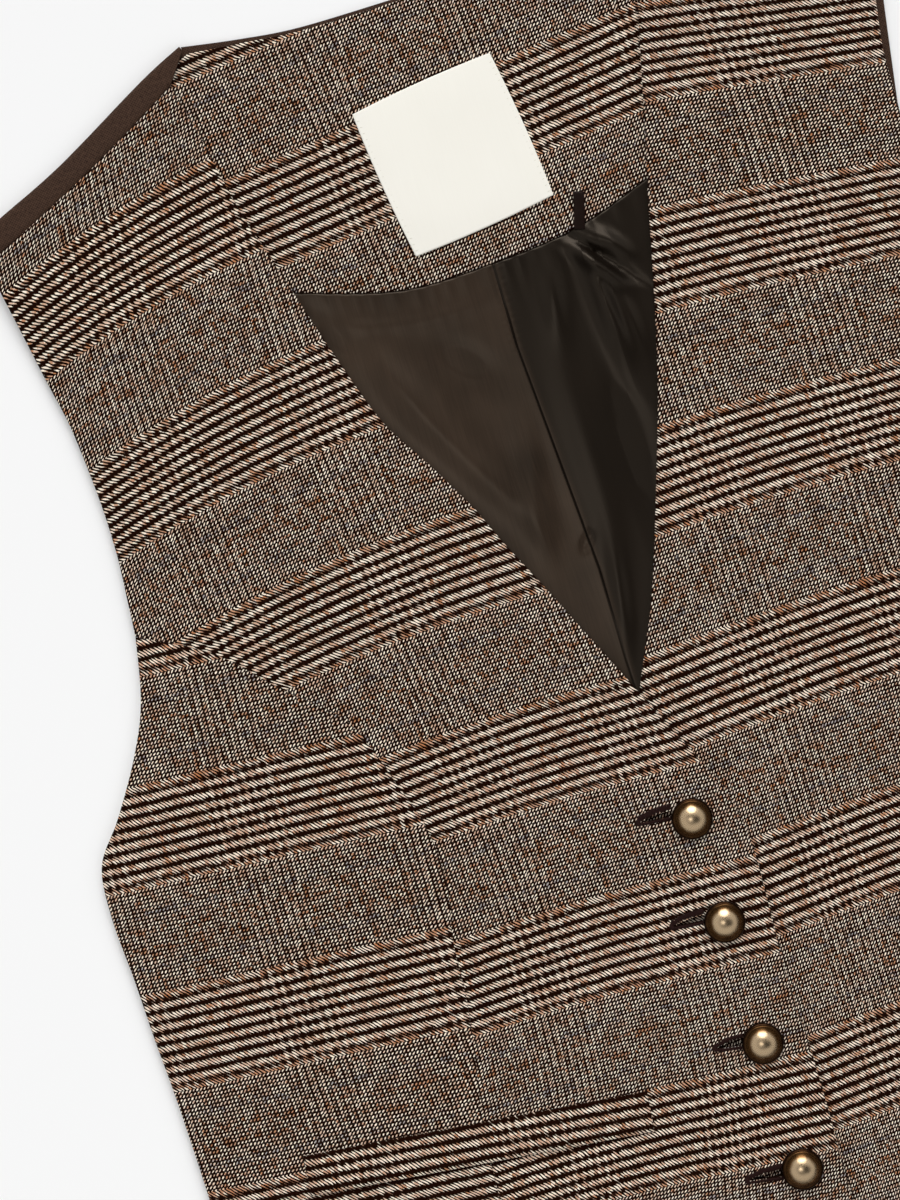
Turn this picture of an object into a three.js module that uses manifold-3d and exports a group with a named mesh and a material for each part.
// Suit waistcoat laid flat and buttoned, in millimetres: X across it, Y up it and
// Z up from the surface it lies on. Right and left are the wearer's: the right front
// has the negative X and lies on top. The tables are measured from the centre front
// at the foot of the V, and the finished group is moved to stand on the origin.
import * as THREE from 'three';
import { mergeVertices } from 'three/addons/utils/BufferGeometryUtils.js';
import Module from 'manifold-3d';

const { clamp, degToRad, lerp, smoothstep } = THREE.MathUtils;

// Cloth walls
const BACK_WALL = 1.2;
const LINING_WALL = 1.0;
const FACING_WALL = 1.2;
const LABEL_WALL = 1.0;
const TAPE_WALL = 0.8;
const FRONT_WALL = 2.2;
const WELT_WALL = 1.2;

// Clearances at seams, between layers and under the lapped front
const SEAM_GAP = 0.3;
const LAY_GAP = 0.3;
const LAP_GAP = 0.6;

// Heights of the undersides of the layers, and how far the fronts sink at their edges
const INNER_BED = BACK_WALL + LAY_GAP;
const FACING_TOP = INNER_BED + FACING_WALL;
const FRONT_BED = 3.1;
const EDGE_DROP = FRONT_BED - INNER_BED;
const HEM_DROP = 1.2;
const POINT_DROP = 1.6;
const LAP_RISE = FRONT_WALL + LAP_GAP;

// The upper body leans a little to the wearer's right
const LEAN = -13.5;
const LEAN_HEIGHT = 150;

// The shoulder turn: outer radius of the back cloth as it folds over, and its grid
const TURN_RADIUS = 2.25;
const TURN_STEPS = 5;
const SHOULDER_COLUMNS = 6;
const NECK_COLUMNS = 8;

// Columns of the fronts' grids, as shares of the way from the side to the front edge
const CENTRE_SHARES = [0, 0.05, 0.12, 0.24, 0.37, 0.5, 0.57, 0.64, 0.76, 0.88, 1];
const SIDE_SHARES = [0, 0.06, 0.14, 0.33, 0.55, 0.78, 1];
const SECTION_STEPS = 2;

// Buttons, each with its shank through the round eye of a buttonhole
const BUTTON_HEIGHTS = [-51.6, -93.1, -141.9, -192.3, -242.0];
const SHANK_RADIUS = 1.8;
const EYE_RADIUS = 2.5;

// Welts, label and hanger loop
const WELT = { length: 134.5, depth: 15.8, turn: -6.8, columns: 10, rows: 2 };
const RIGHT_WELT = { x: -115.5, y: -146.4 };
const LEFT_WELT = { x: 125.5, y: -146.4 };
const LABEL = { x: -10.7, y: 219.5, width: 58, height: 60, turn: 6.7, bow: 1.6 };
const LOOP = { x: 29.6, y: 176.6, width: 4.2, length: 14.6, turn: 2 };

// Fronts from the shoulder seam to the top of the princess seam: armhole side, neck
// edge of the right front, the left front's at the same height, bow of the section
const BUST_ROWS = [
  { sideX: -194.8, sideY: 232.6, edgeX: -106.3, edgeY: 277.2, lapX: 79.3, bow: 1.8 },
  { sideX: -190.2, sideY: 206, edgeX: -101.3, edgeY: 254.5, lapX: 74.8, bow: 1.2 },
  { sideX: -186.5, sideY: 184, edgeX: -96, edgeY: 226, lapX: 67.6, bow: 0.6 },
  { sideX: -183, sideY: 165, edgeX: -90, edgeY: 204, lapX: 62.1, bow: 0.2 },
  { sideX: -181.3, sideY: 146, edgeX: -83, edgeY: 179, lapX: 55.4, bow: 0 },
  { sideX: -180.4, sideY: 128, edgeX: -76, edgeY: 155, lapX: 49.5, bow: 0 },
  { sideX: -180.6, sideY: 110, edgeX: -67.3, edgeY: 129, lapX: 42.8, bow: 0 },
  { sideX: -181.9, sideY: 94, edgeX: -54.5, edgeY: 107, lapX: 36.5, bow: 0 },
  { sideX: -183.2, sideY: 79, edgeX: -43.5, edgeY: 86.5, lapX: 29.7, bow: 0 },
];

// Fronts from there to the hem: outer edge of the side panel, princess seam, front
// edges as above, and how far the centre panel's section dips to the front point
const WAIST_ROWS = [
  { outX: -183.2, outY: 79, seamX: -183.2, seamY: 79, edgeX: -43.5, edgeY: 86.5, lapX: 29.7, dip: 0 },
  { outX: -188.9, outY: 54, seamX: -156.2, seamY: 63.7, edgeX: -36.5, edgeY: 70, lapX: 24, dip: 0 },
  { outX: -198.1, outY: 34.2, seamX: -135, seamY: 42.5, edgeX: -27, edgeY: 50, lapX: 17, dip: 0 },
  { outX: -210.9, outY: 14, seamX: -114.9, seamY: 23.3, edgeX: -18, edgeY: 30, lapX: 9.3, dip: 0 },
  { outX: -222.2, outY: -1.5, seamX: -104.3, seamY: -4.6, edgeX: -3.5, edgeY: -2, lapX: -5.5, dip: 0 },
  { outX: -224.5, outY: -22, seamX: -98.1, seamY: -26, edgeX: 6.5, edgeY: -24, lapX: -12.5, dip: 0 },
  { outX: -223.4, outY: -47, seamX: -97.4, seamY: -48, edgeX: 16, edgeY: -45.4, lapX: -16.5, dip: 0 },
  { outX: -222.8, outY: -71, seamX: -101.6, seamY: -69.2, edgeX: 19, edgeY: -68, lapX: -18.5, dip: 0 },
  { outX: -221.8, outY: -94, seamX: -103.4, seamY: -92.8, edgeX: 18.3, edgeY: -92, lapX: -18, dip: 0 },
  { outX: -221.3, outY: -120, seamX: -107.9, seamY: -119.7, edgeX: 16.8, edgeY: -118, lapX: -17.5, dip: 0 },
  { outX: -221.2, outY: -142, seamX: -112, seamY: -141, edgeX: 17, edgeY: -142, lapX: -17, dip: 0 },
  { outX: -221.5, outY: -168, seamX: -114.3, seamY: -169.6, edgeX: 16.6, edgeY: -168, lapX: -16.6, dip: 0 },
  { outX: -222, outY: -190, seamX: -115.8, seamY: -195, edgeX: 15.4, edgeY: -200, lapX: -15.4, dip: 5 },
  { outX: -222.4, outY: -203, seamX: -117, seamY: -217, edgeX: 14.6, edgeY: -232, lapX: -14.6, dip: 17 },
  { outX: -222.8, outY: -214, seamX: -118.3, seamY: -236, edgeX: 13, edgeY: -260, lapX: -13, dip: 35 },
];

// The left front stops a little short of the back's edge at the top of its armhole
const LEFT_INSET = 4.4;

// Where the back cloth folds over the right shoulder, from the armhole to the neck,
// then the right half of its neck edge, and its hem
const SHOULDER_FOLD = [
  { x: -196.6, y: 243 },
  { x: -184.2, y: 248.8 },
  { x: -156, y: 261.3 },
  { x: -117.1, y: 282.5 },
  { x: -98.9, y: 291 },
];
const NECK_EDGE = [
  { x: -98.9, y: 291 },
  { x: -75.3, y: 287 },
  { x: -52, y: 284.4 },
  { x: -13.5, y: 284 },
];
const BACK_HEM = { sideY: -214.5, centreY: -226 };
const BACK_EXTRA = 0.4;

// Neck facing: its ends under the two fronts, its upper edge and its lower edge
const FACING_RIGHT_TIP = { x: -117, y: 279 };
const FACING_LEFT_TIP = { x: 90, y: 279 };
const FACING_HEAD = [
  { x: -96.5, y: 288.4 },
  { x: -75.3, y: 286.1 },
  { x: -52, y: 283.8 },
  { x: -13.5, y: 283.5 },
  { x: 25, y: 283.8 },
  { x: 48.3, y: 286.1 },
  { x: 69.5, y: 288.4 },
];
const FACING_FOOT = [
  { x: -104, y: 194 },
  { x: -85.7, y: 187.5 },
  { x: -45.5, y: 175.8 },
  { x: -8.9, y: 175.2 },
  { x: 26, y: 178.5 },
  { x: 57.3, y: 188.4 },
  { x: 76, y: 195.5 },
];
const FACING_ROWS = 7;

// Centre back line of the lining and how high its pleat stands
const PLEAT_LINE = [
  { y: 300, x: -8.5, rise: 0.1 },
  { y: 172.7, x: -8.5, rise: 0.2 },
  { y: 142, x: -9.3, rise: 0.7 },
  { y: 96, x: -7, rise: 1.2 },
  { y: 49.9, x: -4.8, rise: 1.0 },
  { y: 14, x: -5.5, rise: 0.2 },
  { y: -30, x: -5, rise: 0 },
  { y: -300, x: 0, rise: 0 },
];
const PLEAT_REACH = 9;
const PLEAT_COLUMNS = [-95.5, -77, -60, -42, -28, -14, -6, -2, 0, 2, 8, 20, 36, 52, 68, 84.5];
const LINING_ROWS = 16;
const LINING_INSET = 13;
const LINING_SIDE_TOP = 182;
const LINING_HEM = -207;

// Soft swells left in the pressed fronts
const SWELLS = [
  { x: -112, y: 62, turn: 20, length: 62, width: 46, rise: 1.2 },
  { x: -64, y: -52, turn: 100, length: 62, width: 19, rise: 0.9 },
  { x: -150, y: -178, turn: 15, length: 48, width: 20, rise: 0.7 },
  { x: -142, y: 188, turn: -62, length: 46, width: 18, rise: 0.6 },
  { x: 98, y: 60, turn: -20, length: 60, width: 46, rise: 1.2 },
  { x: 74, y: -88, turn: 80, length: 70, width: 20, rise: 0.9 },
  { x: 150, y: -180, turn: -12, length: 46, width: 20, rise: 0.6 },
];

const CHECK = { color: 0x7b6757, roughness: 0.92, metalness: 0 };
const BACK_CLOTH = { color: 0x3a2a20, roughness: 0.9, metalness: 0 };
const SATIN = { color: 0x352e27, roughness: 0.45, metalness: 0 };
const LABEL_SATIN = { color: 0xf1efe4, roughness: 0.5, metalness: 0 };
const TAPE = { color: 0x3d2a20, roughness: 0.5, metalness: 0 };
const BRASS = { color: 0x9b7c55, roughness: 0.38, metalness: 1 };

const wasm = await Module();
wasm.setup();

function axisX(y) {
  return LEAN * smoothstep(y, 0, LEAN_HEIGHT);
}

function mirrored({ x, y }) {
  return { x: 2 * axisX(y) - x, y };
}

function between(from, to, t) {
  return { x: lerp(from.x, to.x, t), y: lerp(from.y, to.y, t) };
}

function catmullRom(before, from, to, after, t) {
  const leave = (to - before) / 2;
  const arrive = (after - from) / 2;
  const cubic = 2 * from - 2 * to + leave + arrive;
  const square = 3 * to - 3 * from - 2 * leave - arrive;
  return cubic * t ** 3 + square * t ** 2 + leave * t + from;
}

// Every named value of a table at equal steps along a smooth line through its rows
function smoothRows(table, steps) {
  const names = Object.keys(table[0]);
  const rows = [table[0]];
  for (let index = 1; index < table.length; index += 1) {
    const from = table[index - 1];
    const to = table[index];
    const before = table[index - 2] ?? from;
    const after = table[index + 1] ?? to;
    for (let step = 1; step <= steps; step += 1) {
      const valueOf = (name) => catmullRom(before[name], from[name], to[name], after[name], step / steps);
      rows.push(Object.fromEntries(names.map((name) => [name, valueOf(name)])));
    }
  }
  return rows;
}

// A table's value at a height between two of its rows, which run down the garment
function valueAtHeight(table, heightName, name, y) {
  const next = table.findIndex((row) => row[heightName] <= y);
  const index = next < 0 ? table.length - 1 : Math.max(next, 1);
  const from = table[index - 1];
  const to = table[index];
  const t = (y - from[heightName]) / (to[heightName] - from[heightName]);
  return lerp(from[name], to[name], clamp(t, 0, 1));
}

// A line moved sideways by a distance, to the right of its direction
function besideLine(line, distance) {
  return line.map(({ x, y }, index) => {
    const from = line[Math.max(index - 1, 0)];
    const to = line[Math.min(index + 1, line.length - 1)];
    const length = Math.hypot(to.x - from.x, to.y - from.y);
    return {
      x: x + (distance * (to.y - from.y)) / length,
      y: y - (distance * (to.x - from.x)) / length,
    };
  });
}

// Points at equal steps of length along a smooth line
function evenPoints(line, count) {
  const path = new THREE.SplineCurve(line.map(({ x, y }) => new THREE.Vector2(x, y)));
  return path.getSpacedPoints(count).map(({ x, y }) => ({ x, y }));
}

function distanceToLine(line, x, y) {
  let nearest = Infinity;
  for (let index = 1; index < line.length; index += 1) {
    const from = line[index - 1];
    const runX = line[index].x - from.x;
    const runY = line[index].y - from.y;
    const along = ((x - from.x) * runX + (y - from.y) * runY) / (runX ** 2 + runY ** 2);
    const t = clamp(along, 0, 1);
    nearest = Math.min(nearest, Math.hypot(x - from.x - t * runX, y - from.y - t * runY));
  }
  return nearest;
}

const bustRows = smoothRows(BUST_ROWS, SECTION_STEPS);
const waistRows = smoothRows(WAIST_ROWS, SECTION_STEPS);
const edgeRows = [...bustRows, ...waistRows.slice(1)];
const armholeLine = bustRows.map(({ sideX, sideY }) => ({ x: sideX, y: sideY }));
const sideLine = waistRows.map(({ outX, outY }) => ({ x: outX, y: outY }));
const seamLine = waistRows.map(({ seamX, seamY }) => ({ x: seamX, y: seamY }));
const outerLine = [...armholeLine, ...sideLine.slice(1)];

// The shoulder: where the back folds, where its fold begins and where it meets the front
const shoulderFold = evenPoints(SHOULDER_FOLD, SHOULDER_COLUMNS);
const shoulderFeet = besideLine(shoulderFold, TURN_RADIUS);
const shoulderShares = shoulderFold.map((_, column) => column / SHOULDER_COLUMNS);
const neckTip = { x: BUST_ROWS[0].edgeX, y: BUST_ROWS[0].edgeY };
const frontShoulder = sectionPoints(armholeLine[0], neckTip, shoulderShares, BUST_ROWS[0].bow, 0);
const shoulderSeam = besideLine(frontShoulder, -SEAM_GAP);

// Height of the soft swells at a point of the fronts
function swell(x, y) {
  return SWELLS.reduce((sum, fold) => {
    const turn = degToRad(fold.turn);
    const along = (x - fold.x) * Math.cos(turn) + (y - fold.y) * Math.sin(turn);
    const across = (y - fold.y) * Math.cos(turn) - (x - fold.x) * Math.sin(turn);
    return sum + fold.rise * Math.exp(-((along / fold.length) ** 2) - (across / fold.width) ** 2);
  }, 0);
}

// Underside of a front: it lies on the lining, sinks to the back at the armhole and
// side seam, and past the back's hem its points sink to the surface below
function leftFrontBed(x, y) {
  const inner = x > axisX(y) ? mirrored({ x, y }).x : x;
  const nearEdge = 1 - smoothstep(distanceToLine(outerLine, inner, y), 1, 12);
  const edge = EDGE_DROP * nearEdge * (1 - smoothstep(y, 185, 225));
  const hem = HEM_DROP * smoothstep(-y, 213, 240);
  const point = POINT_DROP * smoothstep(-y, 250, 274);
  return FRONT_BED + swell(x, y) - Math.max(edge, hem) - point;
}

// The right front lies the same way, raised where it laps over the left one's edge
function rightFrontBed(x, y) {
  const past = x - valueAtHeight(edgeRows, 'edgeY', 'lapX', y);
  return leftFrontBed(x, y) + LAP_RISE * smoothstep(past, -26, -8);
}

function addTriangle(triangles, corners) {
  const [a, b, c] = corners;
  const shortest = Math.min(a.distanceTo(b), b.distanceTo(c), c.distanceTo(a));
  if (shortest > 1e-4) {
    triangles.push(...corners);
  }
}

function addQuad(triangles, [a, b, c, d]) {
  addTriangle(triangles, [a, b, c]);
  addTriangle(triangles, [a, c, d]);
}

// A closed wall from pairs of points, one on each face, and the cells between them
function closedWall(pairs, cells) {
  const triangles = [];
  const rims = new Map();
  for (const cell of cells) {
    addQuad(triangles, cell.map((index) => pairs[index].upper));
    addQuad(triangles, cell.map((index) => pairs[index].lower).reverse());
    cell.forEach((from, corner) => {
      const to = cell[(corner + 1) % cell.length];
      if (!rims.delete(`${to} ${from}`)) {
        rims.set(`${from} ${to}`, [pairs[from], pairs[to]]);
      }
    });
  }
  for (const [from, to] of rims.values()) {
    addQuad(triangles, [from.upper, from.lower, to.lower, to.upper]);
  }
  return mergeVertices(new THREE.BufferGeometry().setFromPoints(triangles), 1e-4);
}

// Cells of a grid whose rows run down the garment and whose columns run to the right
function gridCells(rows, columns) {
  const cells = [];
  for (let row = 0; row < rows; row += 1) {
    for (let column = 0; column < columns; column += 1) {
      const corner = row * (columns + 1) + column;
      cells.push([corner, corner + columns + 1, corner + columns + 2, corner + 1]);
    }
  }
  return cells;
}

function heightPair({ x, y }, lower, upper) {
  return { lower: new THREE.Vector3(x, y, lower), upper: new THREE.Vector3(x, y, upper) };
}

// A wall over a grid of points, from the height of its underside and its thickness
function gridWall(grid, undersideAt, wallAt) {
  const pairs = grid.flat().map((point) => {
    const underside = undersideAt(point.x, point.y);
    return heightPair(point, underside, underside + wallAt(point.x, point.y));
  });
  return closedWall(pairs, gridCells(grid.length - 1, grid[0].length - 1));
}

// Points of one section, straight but for its bow and its dip to the front point
function sectionPoints(from, to, shares, bow, dip) {
  return shares.map((share) => {
    const point = between(from, to, share);
    const sag = 4 * bow * share * (1 - share) + dip * (1 - Math.abs(2 * share - 1));
    return { x: point.x, y: point.y - sag };
  });
}

// Places a point of the tables on the wearer's right front, or on the left one
function placeOn(isRight) {
  const inset = (y) => LEFT_INSET * smoothstep(y, 172, 216);
  return (point) => (isRight ? point : { x: mirrored(point).x - inset(point.y), y: point.y });
}

// Grids of the two panels of a front, with their rows in the order left to right
function frontGrids(isRight) {
  const place = placeOn(isRight);
  const edgeOf = ({ edgeX, lapX, edgeY }) => ({ x: isRight ? edgeX : lapX, y: edgeY });
  const centreSide = [...armholeLine.slice(0, -1), ...besideLine(seamLine, -SEAM_GAP / 2)];
  const sideSeam = besideLine(seamLine, SEAM_GAP / 2);
  const sideOuter = [sideSeam[0], ...sideLine.slice(1)];
  const centre = edgeRows.map((row, index) => (
    sectionPoints(place(centreSide[index]), edgeOf(row), CENTRE_SHARES, row.bow ?? 0, row.dip ?? 0)
  ));
  const side = sideOuter.map((point, index) => (
    sectionPoints(place(point), place(sideSeam[index]), SIDE_SHARES, 0, 0)
  ));
  const leftToRight = (grid) => (isRight ? grid : grid.map((row) => row.reverse()));
  return { centre: leftToRight(centre), side: leftToRight(side) };
}

function solidOf(geometry) {
  const bare = geometry.clone();
  bare.deleteAttribute('normal');
  bare.deleteAttribute('uv');
  const merged = mergeVertices(bare, 1e-4);
  return new wasm.Manifold(new wasm.Mesh({
    numProp: 3,
    vertProperties: new Float32Array(merged.attributes.position.array),
    triVerts: new Uint32Array(merged.index.array),
  }));
}

function geometryOf(solid) {
  const mesh = solid.getMesh();
  const geometry = new THREE.BufferGeometry();
  geometry.setAttribute('position', new THREE.BufferAttribute(mesh.vertProperties, 3));
  geometry.setIndex(new THREE.BufferAttribute(mesh.triVerts, 1));
  return geometry;
}

// A front panel with the round eye of each buttonhole cut through it
function withEyes(geometry) {
  const panel = BUTTON_HEIGHTS.reduce((solid, y) => {
    const eye = new THREE.CylinderGeometry(EYE_RADIUS, EYE_RADIUS, 4 * FRONT_WALL, 12);
    eye.rotateX(Math.PI / 2);
    eye.translate(0, y, rightFrontBed(0, y) + FRONT_WALL / 2);
    return solid.subtract(solidOf(eye));
  }, solidOf(geometry));
  return geometryOf(panel);
}

// Pairs up one section of the turned shoulder, from its fold to the seam
function turnPairs(foot, outward, seamPoint) {
  const arc = Array.from({ length: TURN_STEPS }, (_, step) => {
    const angle = Math.PI * ((step + 1) / TURN_STEPS - 0.5);
    const at = (radius) => new THREE.Vector3(
      foot.x + outward.x * radius * Math.cos(angle),
      foot.y + outward.y * radius * Math.cos(angle),
      TURN_RADIUS + radius * Math.sin(angle),
    );
    return { lower: at(TURN_RADIUS), upper: at(TURN_RADIUS - BACK_WALL) };
  });
  const flap = [0.5, 1].map((share) => (
    heightPair(between(foot, seamPoint, share), 2 * TURN_RADIUS, 2 * TURN_RADIUS - BACK_WALL)
  ));
  return [...arc, ...flap];
}

// Adds the turned strip of one shoulder to the back, from a column of its first row
function addTurn(pairs, cells, firstColumn, isRight) {
  const place = isRight ? (point) => point : mirrored;
  const step = isRight ? 1 : -1;
  const levels = TURN_STEPS + 2;
  const start = pairs.length;
  shoulderFeet.forEach((foot, index) => {
    const outward = {
      x: (step * (shoulderFold[index].x - foot.x)) / TURN_RADIUS,
      y: (shoulderFold[index].y - foot.y) / TURN_RADIUS,
    };
    pairs.push(...turnPairs(place(foot), outward, place(shoulderSeam[index])));
  });
  const indexOf = (index, level) => (
    level === 0 ? firstColumn + step * index : start + index * levels + level - 1
  );
  for (let index = 0; index < SHOULDER_COLUMNS; index += 1) {
    for (let level = 0; level < levels; level += 1) {
      const far = [indexOf(index, level + 1), indexOf(index, level)];
      const near = [indexOf(index + 1, level), indexOf(index + 1, level + 1)];
      const cell = [...far, ...near];
      cells.push(isRight ? cell : cell.reverse());
    }
  }
}

function backHem(width, share) {
  const x = lerp(-width, width, share);
  return { x, y: lerp(BACK_HEM.centreY, BACK_HEM.sideY, (x / width) ** 2) };
}

// The back in one piece, flat below, filled in between its head, sides and hem, and
// turned over both shoulders to meet the fronts
function backGeometry() {
  const rightHead = [...shoulderFeet, ...evenPoints(NECK_EDGE, NECK_COLUMNS / 2).slice(1)];
  const head = [...rightHead, ...rightHead.slice(0, -1).map(mirrored).reverse()];
  const edge = besideLine(outerLine, BACK_EXTRA).filter((_, index) => index % 2 === 0);
  edge[edge.length - 1].y = BACK_HEM.sideY;
  const right = [head[0], ...edge];
  const left = right.map(mirrored);
  const rows = right.length - 1;
  const columns = head.length - 1;
  const grid = right.map((rightPoint, row) => head.map((headPoint, column) => {
    const down = row / rows;
    const share = column / columns;
    const across = between(rightPoint, left[row], share);
    const upright = between(headPoint, backHem(left[rows].x, share), down);
    const straightHead = between(head[0], head[columns], share);
    const straightHem = between(right[rows], left[rows], share);
    const plain = between(straightHead, straightHem, down);
    return { x: across.x + upright.x - plain.x, y: across.y + upright.y - plain.y };
  }));
  const pairs = grid.flat().map((point) => heightPair(point, 0, BACK_WALL));
  const cells = gridCells(rows, columns);
  addTurn(pairs, cells, 0, true);
  addTurn(pairs, cells, columns, false);
  return closedWall(pairs, cells);
}

function pleatX(y) {
  return valueAtHeight(PLEAT_LINE, 'y', 'x', y);
}

// Columns where the neck facing meets the lining, along the facing's lower edge
function facingFoot() {
  const centre = pleatX(FACING_FOOT[3].y);
  const rows = smoothRows(FACING_FOOT, 6).reverse();
  return PLEAT_COLUMNS.map((offset) => {
    const x = centre + offset;
    return { x, y: valueAtHeight(rows, 'x', 'y', x) };
  });
}

function facingGeometry() {
  const foot = facingFoot();
  const head = [FACING_RIGHT_TIP, ...evenPoints(FACING_HEAD, foot.length - 3), FACING_LEFT_TIP];
  const grid = Array.from({ length: FACING_ROWS + 1 }, (_, row) => (
    head.map((point, column) => between(point, foot[column], row / FACING_ROWS))
  ));
  return gridWall(grid, () => INNER_BED, () => FACING_WALL);
}

// Height of the lining's pleat: it leans up to the centre line and drops behind it
function pleatRise(x, y) {
  const past = x - pleatX(y);
  const rise = valueAtHeight(PLEAT_LINE, 'y', 'rise', y);
  return past > 1 ? 0 : rise * Math.exp(past / PLEAT_REACH);
}

// The lining, from the facing's lower edge to just above the hem, set in at the sides
function liningGeometry() {
  const foot = facingFoot().map(({ x, y }) => ({ x, y: y - SEAM_GAP }));
  const inset = besideLine(outerLine, -LINING_INSET);
  const grid = Array.from({ length: LINING_ROWS + 1 }, (_, row) => {
    const down = row / LINING_ROWS;
    const sideY = lerp(LINING_SIDE_TOP, LINING_HEM, down);
    const right = { x: valueAtHeight(inset, 'y', 'x', sideY), y: sideY };
    const left = mirrored(right);
    const middle = foot.map((point) => {
      const y = lerp(point.y, LINING_HEM, down);
      return { x: point.x + pleatX(y) - pleatX(FACING_FOOT[3].y), y };
    });
    const toRight = between(right, middle[0], 0.5);
    const toLeft = between(left, middle[middle.length - 1], 0.5);
    return [right, toRight, ...middle, toLeft, left];
  });
  return gridWall(grid, () => INNER_BED, (x, y) => LINING_WALL + pleatRise(x, y));
}

// A welt lies on both panels of its front and follows their surface
function weltGeometry({ x, y }, turn, bedAt) {
  const cos = Math.cos(degToRad(turn));
  const sin = Math.sin(degToRad(turn));
  const grid = Array.from({ length: WELT.rows + 1 }, (_, row) => (
    Array.from({ length: WELT.columns + 1 }, (__, column) => {
      const along = WELT.length * (column / WELT.columns - 0.5);
      const up = WELT.depth * (0.5 - row / WELT.rows);
      return { x: x + along * cos - up * sin, y: y + along * sin + up * cos };
    })
  ));
  return gridWall(grid, (px, py) => bedAt(px, py) + FRONT_WALL + LAY_GAP, () => WELT_WALL);
}

// The label: a rectangle whose four sides bow out slightly
function labelGeometry() {
  const { width, height, bow } = LABEL;
  const shape = new THREE.Shape();
  shape.moveTo(-width / 2, -height / 2);
  shape.quadraticCurveTo(0, -height / 2 - bow, width / 2, -height / 2);
  shape.quadraticCurveTo(width / 2 + bow, 0, width / 2, height / 2);
  shape.quadraticCurveTo(0, height / 2 + bow, -width / 2, height / 2);
  shape.quadraticCurveTo(-width / 2 - bow, 0, -width / 2, -height / 2);
  const options = { depth: LABEL_WALL, bevelEnabled: false, curveSegments: 6 };
  return new THREE.ExtrudeGeometry(shape, options);
}

// The hanger loop: a tape doubled back on itself, seen from its side and extruded
function loopGeometry() {
  const outer = TAPE_WALL + LAY_GAP / 2;
  const inner = LAY_GAP / 2;
  const bend = LOOP.length - outer;
  const shape = new THREE.Shape();
  shape.moveTo(0, -outer);
  shape.lineTo(bend, -outer);
  shape.absarc(bend, 0, outer, -Math.PI / 2, Math.PI / 2, false);
  shape.lineTo(0, outer);
  shape.lineTo(0, inner);
  shape.lineTo(bend, inner);
  shape.absarc(bend, 0, inner, Math.PI / 2, -Math.PI / 2, true);
  shape.lineTo(0, -inner);
  shape.closePath();
  const options = { depth: LOOP.width, bevelEnabled: false, curveSegments: 6 };
  const geometry = new THREE.ExtrudeGeometry(shape, options);
  geometry.translate(0, outer, -LOOP.width / 2);
  geometry.rotateX(Math.PI / 2);
  return geometry.rotateZ(Math.PI / 2);
}

// A shank button: shank, flat underside, rolled rim, groove and domed face
function buttonGeometry(shank) {
  const profile = [
    [0, -shank],
    [SHANK_RADIUS, -shank],
    [SHANK_RADIUS, 0],
    [7.4, 0],
    [8.0, 0.8],
    [7.6, 1.9],
    [6.8, 2.1],
    [6.0, 3.3],
    [4.2, 4.6],
    [2.2, 5.3],
    [0, 5.5],
  ];
  const points = profile.map(([radius, height]) => new THREE.Vector2(radius, height));
  return new THREE.LatheGeometry(points, 18).rotateX(Math.PI / 2);
}

const garment = new THREE.Group();

function addPiece(name, geometry, finish) {
  const mesh = new THREE.Mesh(geometry, new THREE.MeshStandardMaterial(finish));
  mesh.name = name;
  garment.add(mesh);
  return mesh;
}

function addFronts() {
  const right = frontGrids(true);
  const left = frontGrids(false);
  const wall = () => FRONT_WALL;
  addPiece('front_right_centre', withEyes(gridWall(right.centre, rightFrontBed, wall)), CHECK);
  addPiece('front_right_side', gridWall(right.side, rightFrontBed, wall), CHECK);
  addPiece('front_left_centre', gridWall(left.centre, leftFrontBed, wall), CHECK);
  addPiece('front_left_side', gridWall(left.side, leftFrontBed, wall), CHECK);
  addPiece('welt_right', weltGeometry(RIGHT_WELT, WELT.turn, rightFrontBed), CHECK);
  addPiece('welt_left', weltGeometry(LEFT_WELT, -WELT.turn, leftFrontBed), CHECK);
}

function addInside() {
  addPiece('back', backGeometry(), BACK_CLOTH);
  addPiece('neck_facing', facingGeometry(), CHECK);
  addPiece('back_lining', liningGeometry(), SATIN);
  const label = addPiece('label', labelGeometry(), LABEL_SATIN);
  label.position.set(LABEL.x, LABEL.y, FACING_TOP + LAY_GAP);
  label.rotation.z = degToRad(LABEL.turn);
  const loop = addPiece('hanger_loop', loopGeometry(), TAPE);
  loop.position.set(LOOP.x, LOOP.y, FACING_TOP + LAY_GAP);
  loop.rotation.z = degToRad(LOOP.turn);
}

function addButtons() {
  const shank = FRONT_WALL + LAP_GAP;
  BUTTON_HEIGHTS.forEach((y, index) => {
    const button = addPiece(`button_${index + 1}`, buttonGeometry(shank), BRASS);
    button.position.set(0, y, rightFrontBed(0, y) + FRONT_WALL + LAY_GAP);
  });
}

addFronts();
addInside();
addButtons();

const box = new THREE.Box3().setFromObject(garment);
const middle = box.getCenter(new THREE.Vector3());
garment.position.set(-middle.x, -middle.y, -box.min.z);

const waistcoat = new THREE.Group();
waistcoat.add(garment);

export default waistcoat;
